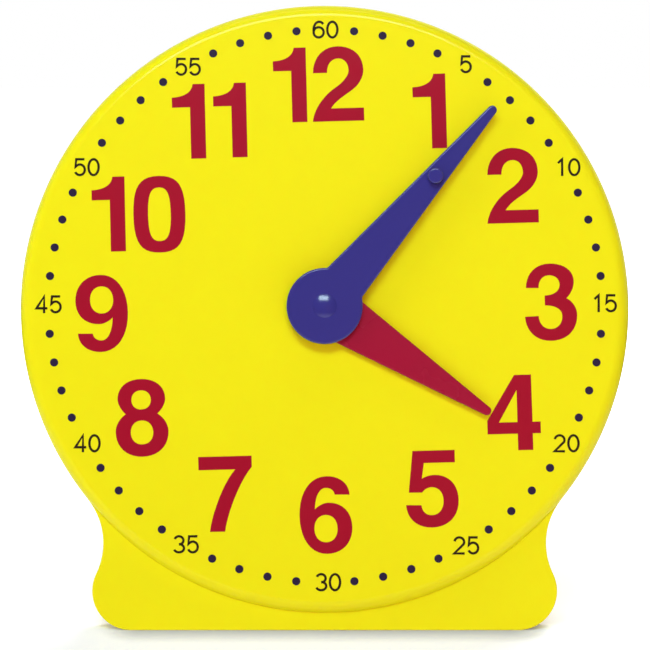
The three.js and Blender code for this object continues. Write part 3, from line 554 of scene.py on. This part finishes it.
board = combined(board, "UNION", crosswise(knuckle), heel)
board = combined(board, "DIFFERENCE", hingeBore())
legPiece = smoothPiece(board, "fold_leg", "leg", yellowAbs,
                       hingePlace @ Matrix.Rotation(radians(leg["angle"]), 4, "X"))
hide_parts("stand_leg")
print("leg")

# Hands: a round hub and a blade that tapers in straight lines to a round tip, every edge eased. A
# bore is (radius, front, back, reach): for the cap, the arbor and the peg, and for the hour pipe.
pegReach = 92.6  # from the hub's middle to the finger peg's
handSteps = {"tip": 16, "hub": 96}
hands = {
    "minute": {"angle": 40.5, "length": 143, "root": 12.4, "tip": 2.5, "hub": 20.7, "front": -9.2,
               "back": -6, "ease": (1.2, 6),
               "bores": [(6.5, -12, -8, 0), (3.3, -9, -4, 0), (2.3, -12, -6.9, pegReach)]},
    "hour": {"angle": 122.8, "length": 107.2, "root": 13.6, "tip": 2.5, "hub": 18.5, "front": -4.8,
             "back": -1.8, "ease": (0.9, 6), "bores": [(5.5, -8, 0, 0)]},
}


def handBody(hand):
    reach = hand["length"] - hand["tip"]
    rise = reach - sqrt(hand["hub"] ** 2 - hand["root"] ** 2)
    taper = acos(hand["tip"] / hypot(hand["root"], rise)) - atan2(rise, hand["root"])
    edge = reach * sin(taper) + hand["tip"]
    root = taper + acos(edge / hand["hub"])
    mesh = bmesh.new()
    first = mesh.verts.new((hand["tip"] * cos(taper), hand["front"], reach + hand["tip"] * sin(taper)))
    last = arcFrom(mesh, first, (0, reach), pi - 2 * taper, handSteps["tip"])
    start = mesh.verts.new((-hand["hub"] * cos(root), hand["front"], hand["hub"] * sin(root)))
    mesh.edges.new((last, start))
    end = arcFrom(mesh, start, (0, 0), pi + 2 * root, handSteps["hub"])
    mesh.edges.new((end, first))
    body = rounded(thickened(mesh, hand["back"]), hand["ease"])
    return combined(body, "DIFFERENCE", *[disc(radius, front, back, (0, reach))
                                          for radius, front, back, reach in hand["bores"]])


handFrames = {name: dialFrame @ Matrix.Rotation(radians(hand["angle"]), 4, "Y")
              for name, hand in hands.items()}
minuteHand = smoothPiece(handBody(hands["minute"]), "minute_pointer", "minute_train", blueAbs,
                         handFrames["minute"])
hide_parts("minute_hand")
hourHand = smoothPiece(handBody(hands["hour"]), "hour_pointer", "hour_train", redAbs,
                       handFrames["hour"])
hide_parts("hour_hand")

# Domed cap in the middle of the minute hand
cap = {"radius": 6.44, "seat": -8.3, "rise": 1.08, "front": -9.2, "arcSteps": 12, "steps": 64}
ball = (cap["radius"] ** 2 + cap["rise"] ** 2) / (2 * cap["rise"])
spread = asin(cap["radius"] / ball)
dome = [(0, cap["seat"]), (cap["radius"], cap["seat"])]
for step in range(cap["arcSteps"] + 1):
    angle = spread * (1 - step / cap["arcSteps"])
    dome.append((ball * sin(angle), cap["front"] - cap["rise"] + ball * (1 - cos(angle))))
hubCap = smoothPiece(spun(dome, cap["steps"]), "hub_dome", "minute_train", blueAbs)
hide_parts("hub_cap")

# Finger peg, whose shank is pressed into the minute hand
peg = {"radius": 4.2, "top": -14.7, "base": -9.5, "shank": 2, "end": -7.2, "ease": (1, 6), "steps": 48}
pegBody = spun([(0, peg["top"]), (peg["radius"], peg["top"]), (peg["radius"], peg["base"]),
                (peg["shank"], peg["base"]), (peg["shank"], peg["end"]), (0, peg["end"])], peg["steps"])
rounded(pegBody, peg["ease"], atDepth(peg["top"]))
pegPiece = smoothPiece(pegBody, "finger_peg", "minute_train", blueAbs,
                       handFrames["minute"] @ Matrix.Translation((0, 0, pegReach)))
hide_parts("minute_hand_peg")
print("hands")

# Print: a ring of dots, one for each minute between the numerals. The ink is sunk into the dial, and
# thick is what stands out.
printing = {"centre": (0.36, 1.08), "ring": 151, "dot": 2.25, "dotSteps": 24, "thick": 0.05,
            "sunk": 0.1}


def inkDot(spot):
    return disc(printing["dot"], case["face"] - printing["thick"], case["face"] + printing["sunk"],
                spot, printing["dotSteps"])


dots = bmesh.new()
for minute in range(60):
    if minute % 5:
        angle = radians(6 * minute)
        spot = (printing["centre"][0] + printing["ring"] * sin(angle),
                printing["centre"][1] + printing["ring"] * cos(angle))
        one = inkDot(spot)
        spare = bpy.data.meshes.new("spare")
        one.to_mesh(spare)
        one.free()
        dots.from_mesh(spare)
        bpy.data.meshes.remove(spare)
smoothPiece(dots, "minute_dots", "case", navyInk)

# Numerals in a bold grotesque, 41 mm high, drawn round their middle. A point is (x, y), with the
# direction of the line there in degrees where it is curved, or those before and after a corner.


def ring(x, y, halfWidth, halfHeight):
    return [(x, y + halfHeight, 180), (x - halfWidth, y, 270), (x, y - halfHeight, 0),
            (x + halfWidth, y, 90)]


def sixShape(bowl):
    return [(13.1, 10.9, None, 93), (0.7, 21.2, 180), (-14.4, -0.2, 270), (0.2, -20.9, 0),
            (14.1, -6.7, 90), (1.4, bowl, 180), (-6, bowl - 3.4, 225, 88), (0.2, 14.9, 0),
            (5, 11.1, 277, None)]


def upsideDown(shape):
    return [(-point[0], -point[1], *[None if way is None else (way + 180) % 360 for way in point[2:]])
            for point in shape]


boldShapes = {
    "0": [ring(0, 0, 14.2, 21), ring(0, 0, 6.2, 14.7)],
    "1": [[(8.9, 20.6), (2.4, 20.6, None, 262), (-9.2, 13.4, 182, None), (-9.2, 7.9), (0.7, 7.9),
           (0.7, -20.4), (8.9, -20.4)]],
    "2": [[(-14.3, 6.5, None, 88), (-0.6, 21, 0), (13.3, 7.8, 270), (8.4, -2, 220),
           (-4.9, -13.1, 236, None), (13.1, -13.1), (13.1, -20.2), (-15, -20.2, None, 84),
           (-2.2, -1.7, 33), (5.2, 7.6, 90), (-0.4, 14.3, 180), (-6.6, 6.5, 270, None)]],
    "3": [[(-13.9, 8.2, None, 88), (-0.8, 21.2, 0), (12.3, 11.2, 270), (8, 2.1, 222, 332),
           (13.6, -7, 270), (-0.8, -21, 180), (-14.8, -7.5, 92, None), (-7.4, -7.3, None, 272),
           (-0.9, -14.5, 0), (5.5, -7.4, 90), (-3.8, -1.6, 180, None), (-3.8, 3.8, None, 0),
           (4.5, 9.6, 90), (-1.2, 14.8, 180), (-7, 8, 270, None)]],
    "4": [[(9.3, 20.6), (0.1, 20.6), (-15.2, -4), (-15.2, -11.4), (1.2, -11.4), (1.2, -20.4),
           (9.4, -20.4), (9.4, -11.4), (13.8, -11.4), (13.8, -5.1), (9.4, -5.1)],
          [(1.2, 12.4), (-8.9, -5.1), (1.2, -5.1)]],
    "5": [[(12.3, 20.8), (-10.6, 20.8), (-13.2, -1.8), (-5.9, -1.9, None, 55), (-0.9, 0.9, 0),
           (5.6, -6.4, 270), (-1, -14.3, 180), (-6.5, -8.8, 94, None), (-14.8, -8.5, None, 272),
           (-0.9, -21, 0), (13.8, -6.3, 90), (1, 7.5, 180), (-5.9, 5.6, 212, None), (-4.6, 14.1),
           (12.3, 14.1)]],
    "6": [sixShape(6.8), ring(-0.2, -7.2, 6.3, 7.4)],
    "7": [[(14.6, 20.6), (-14.4, 20.6), (-14.4, 13.4), (5.6, 13.4, None, 226),
           (-8.9, -20.2, 263, None), (-0.7, -20.2, None, 82), (14.6, 14.6, 48, None)]],
    "8": [[(-0.2, 21.3, 180), (-13.1, 10.4, 270), (-8.8, 2.3, 318, 212), (-14.5, -7.4, 270),
           (-0.2, -21, 0), (14.2, -7.4, 90), (8.4, 2.3, 148, 42), (12.8, 10.4, 90)],
          ring(-0.3, 9.9, 5.3, 5.2), ring(-0.2, -7.8, 6.1, 6.5)],
    "9": [upsideDown(sixShape(6)), ring(0.2, 7.2, 6.3, 7.4)],
}
# How squarely a numeral's curves turn: by full, or as fullness says. Where the line's directions at the
# ends of a curve are nearly parallel, its handles are a share of its span instead.
fullness = {"0": 0.74, "1": 0.66, "7": 0.5}
lettering = {"full": 0.6, "parallel": 0.05, "share": 0.38, "slant": 1.5, "steps": 10, "weld": 0.0005}


def heading(way):  # a unit vector, or nothing at the end of a straight line
    return Vector((0, 0)) if way is None else Vector((cos(radians(way)), sin(radians(way))))


def handles(start, end, full):
    ahead = heading(None if len(start) == 2 else start[-1])
    behind = heading(None if len(end) == 2 else end[2])
    a, b = Vector(start[:2]), Vector(end[:2])
    gap = b - a
    across = ahead.cross(behind)
    lengths = [0, 0]
    if abs(across) > lettering["parallel"]:
        lengths = [full * gap.cross(behind) / across, full * ahead.cross(gap) / across]
    if min(lengths) <= 0:
        lengths = [gap.length * lettering["share"]] * 2
    return a + ahead * lengths[0], b - behind * lengths[1]


def drawGlyph(curve, shape, full, place):
    for outline in shape:
        spline = curve.splines.new("BEZIER")
        spline.use_cyclic_u = True
        spline.bezier_points.add(len(outline) - 1)
        for index, (start, end) in enumerate(zip(outline, outline[1:] + outline[:1])):
            first, second = handles(start, end, full)
            here = spline.bezier_points[index]
            there = spline.bezier_points[(index + 1) % len(outline)]
            here.handle_left_type = here.handle_right_type = "FREE"
            here.co = place @ Vector((*start[:2], 0))
            here.handle_right = place @ first.to_3d()
            there.handle_left = place @ second.to_3d()


def inkPiece(curve, name, ink):
    curve.dimensions = "2D"
    curve.fill_mode = "BOTH"
    curve.resolution_u = lettering["steps"]
    curve.extrude = printing["thick"]
    flat = bpy.data.objects.new(name + "_line", curve)
    bpy.context.scene.collection.objects.link(flat)
    mesh = bmesh.new()
    mesh.from_mesh(flat.evaluated_get(bpy.context.evaluated_depsgraph_get()).to_mesh())
    bpy.data.objects.remove(flat)
    bmesh.ops.remove_doubles(mesh, verts=mesh.verts, dist=lettering["weld"])
    bmesh.ops.rotate(mesh, verts=mesh.verts, matrix=Matrix.Rotation(pi / 2, 3, "X"))
    bmesh.ops.translate(mesh, verts=mesh.verts, vec=(0, case["face"], 0))
    return smoothPiece(mesh, name, "case", ink)


# Middles of the hour numerals, as the photograph shows them
hourSpots = [("1", -19.2, 120.4), ("2", 7.7, 120.9), ("1", 57.2, 106.1), ("2", 103, 65),
             ("3", 123.5, 1.4), ("4", 103.2, -58.8), ("5", 58.5, -100.1), ("6", 0.4, -114.5),
             ("7", -54.2, -103.1), ("8", -99.7, -61.7), ("9", -122, -4.5), ("1", -118.2, 49.5),
             ("0", -90.6, 49.6), ("1", -74.5, 100.4), ("1", -51.9, 101.1)]
slant = Matrix.Rotation(radians(lettering["slant"]), 4, "Z")
hourCurve = bpy.data.curves.new("hourNumerals", "CURVE")
for digit, x, y in hourSpots:
    place = Matrix.Translation((x + printing["centre"][0], y + printing["centre"][1], 0)) @ slant
    drawGlyph(hourCurve, boldShapes[digit], fullness.get(digit, lettering["full"]), place)
inkPiece(hourCurve, "hour_numerals", redInk)

# Minute numerals in a light grotesque, drawn by the pen's middle line in units of half their height.
# A pen line is a run of points, or an arc as (x, y, half width, half height, from, to) in degrees.
pen = {"high": 4.33, "wide": 2.76, "stroke": 1.31, "step": 7.5, "arcStep": 10, "fewest": 6,
       "mitre": 0.45}  # an arc has at least the fewest steps, and the mitre keeps sharp corners short
lightShapes = {
    "0": [[(0, 0, 1, 1, 90, 450)]],
    "1": [[(-0.5, 0.52), (0.32, 1), (0.32, -1.12)]],
    "2": [[(0, 0.42, 0.95, 0.58, 170, -28), (-1, -1), (1.05, -1)]],
    "3": [[(0, 0.49, 0.88, 0.51, 160, -90)], [(0, -0.49, 1, 0.51, 90, -160)]],
    "4": [[(0.45, -1.12), (0.45, 1), (-1.05, -0.5), (1.1, -0.5)]],
    "5": [[(0.9, 1), (-0.72, 1), (-0.88, 0.02), (0, -0.33, 0.98, 0.67, 128, -155)]],
    "6": [[(0.12, 0, 1.12, 1, 45, 180), (-1, -0.3)], [(0, -0.35, 1, 0.65, 180, 540)]],
}


def penPoints(run, spot):  # the pen's middle line on the dial, with its arcs drawn out
    points = []
    for part in run:
        if len(part) == 2:
            points.append(Vector(part))
            continue
        x, y, across, up, start, end = part
        steps = max(pen["fewest"], int(abs(end - start) / pen["arcStep"]))
        for i in range(steps + 1):
            angle = radians(start + (end - start) * i / steps)
            points.append(Vector((x + across * cos(angle), y + up * sin(angle))))
    return [Vector((spot[0] + q.x * pen["wide"], spot[1] + q.y * pen["high"])) for q in points]


def penLine(mesh, run, spot):
    points = penPoints(run, spot)
    closed = (points[0] - points[-1]).length < 10 * merged
    if closed:
        points.pop()
    sides = []
    for i, point in enumerate(points):
        before = points[i - 1] if closed or i else None
        after = points[(i + 1) % len(points)] if closed or i < len(points) - 1 else None
        into = (point - before).normalized() if before else (after - point).normalized()
        out = (after - point).normalized() if after else into
        middle = (into + out).normalized()
        wide = pen["stroke"] / 2 / max(pen["mitre"], middle.dot(into))
        normal = Vector((-middle.y, middle.x)) * wide
        front = case["face"] - printing["thick"]
        sides.append([mesh.verts.new((q.x, front, q.y)) for q in (point + normal, point - normal)])
    count = len(sides) if closed else len(sides) - 1
    for i in range(count):
        here, there = sides[i], sides[(i + 1) % len(sides)]
        mesh.faces.new((here[0], here[1], there[1], there[0]))


minuteInk = bmesh.new()
minuteSpots = [(0.1, 151.1), (76.9, 132), (132.3, 75.4), (151.9, 0.9), (131.2, -75.4),
               (76.5, -130.8), (1.5, -150.7), (-75.7, -130.2), (-129.3, -75.4), (-150.8, 0.3),
               (-130.4, 75.4), (-75.2, 130.6)]
for hour, spot in enumerate(minuteSpots):
    text = str(5 * hour or 60)
    x, y = spot[0] + printing["centre"][0], spot[1] + printing["centre"][1]
    for place, digit in enumerate(text):
        for run in lightShapes[digit]:
            penLine(minuteInk, run, (x + (place - (len(text) - 1) / 2) * pen["step"], y))
raised = bmesh.ops.extrude_face_region(minuteInk, geom=minuteInk.faces[:])["geom"]
bmesh.ops.translate(minuteInk, verts=[item for item in raised if isinstance(item, bmesh.types.BMVert)],
                    vec=(0, printing["thick"] * 2, 0))
bmesh.ops.recalc_face_normals(minuteInk, faces=minuteInk.faces)
smoothPiece(minuteInk, "minute_numerals", "case", blackInk)
print("print")

# What the CAD model shows as it is
finishes = {"yellow_case": yellowAbs, "blue_hand": blueAbs, "red_hand": redAbs,
            "white_gear": whiteAcetal, "black_bridge": blackNylon, "steel": zincSteel}
slots = {part["node"]: part["material_slot"] for part in frame["record"]["subparts"]}
for name, node in frame["nodes"].items():
    node.data.materials.clear()
    node.data.materials.append(finishes[slots[name]])
